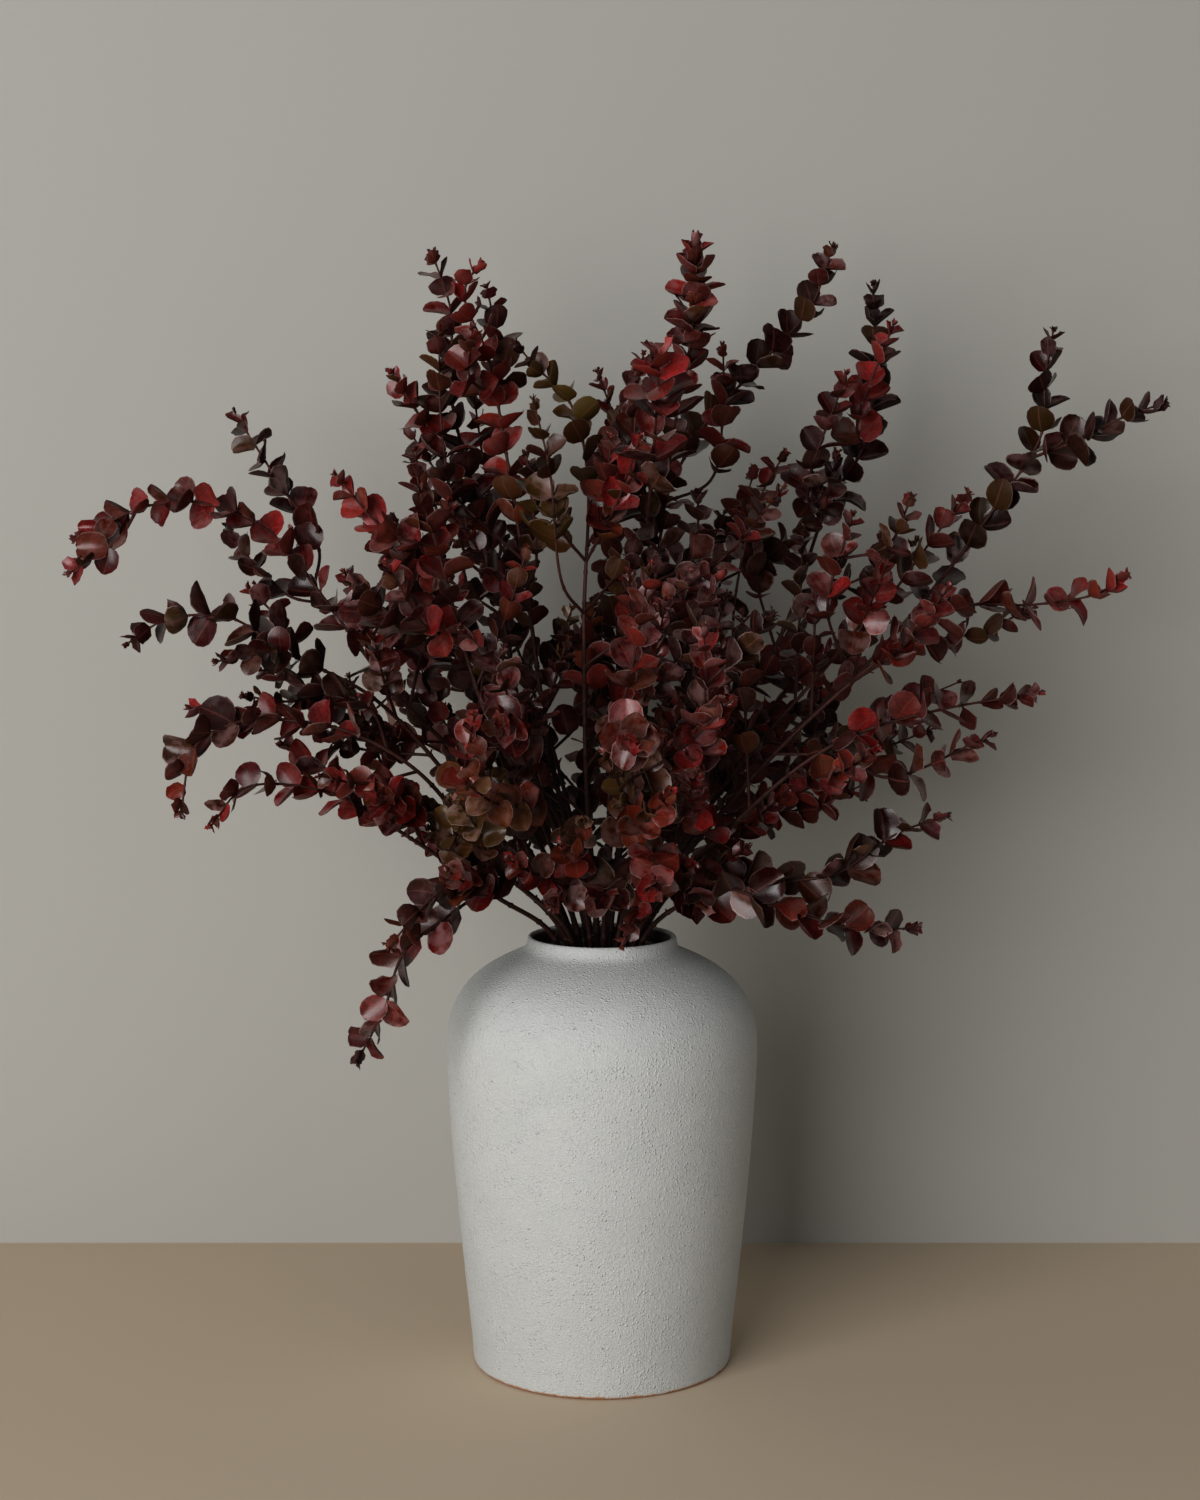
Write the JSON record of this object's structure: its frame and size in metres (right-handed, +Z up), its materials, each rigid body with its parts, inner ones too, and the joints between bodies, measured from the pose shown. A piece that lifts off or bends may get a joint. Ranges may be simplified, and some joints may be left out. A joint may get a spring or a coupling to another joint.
{
  "type": "eucalyptus stems in vase",
  "caption": "Arching burgundy eucalyptus stems with round paired leaves, standing in a matt white textured ceramic vase with a narrow neck and a round shoulder.",
  "frame": {"origin": "middle of the vase's flat foot, on the surface it stands on", "axes": "+Z up along the vase's axis, -Y towards the front of the bunch, +X to the right seen from the front"},
  "size_m": [0.7363, 0.4471, 0.7764],
  "materials": {
    "vase": "matt off-white stucco-like coat, sandy and pitted",
    "stems": "dried dark brown twigs with burgundy, red and mauve leaves"
  },
  "bodies": {
    "root": {"stem_back_1": "stems", "stem_back_2": "stems", "stem_back_3": "stems", "stem_back_4": "stems", "stem_back_5": "stems", "stem_back_6": "stems", "stem_back_7": "stems", "stem_back_8": "stems", "stem_front": "stems", "stem_front_left": "stems", "stem_front_right": "stems", "stem_left_arch": "stems", "stem_left_front": "stems", "stem_left_low": "stems", "stem_left_mid": "stems", "stem_long_arch": "stems", "stem_low_left": "stems", "stem_olive_arch": "stems", "stem_pink_low": "stems", "stem_right_arch": "stems", "stem_right_high": "stems", "stem_right_inner": "stems", "stem_right_low": "stems", "stem_right_mid": "stems", "stem_right_tall": "stems", "stem_top": "stems", "stem_top_left": "stems", "stem_top_left_inner": "stems", "vase": "vase"}
  },
  "joints": []
}
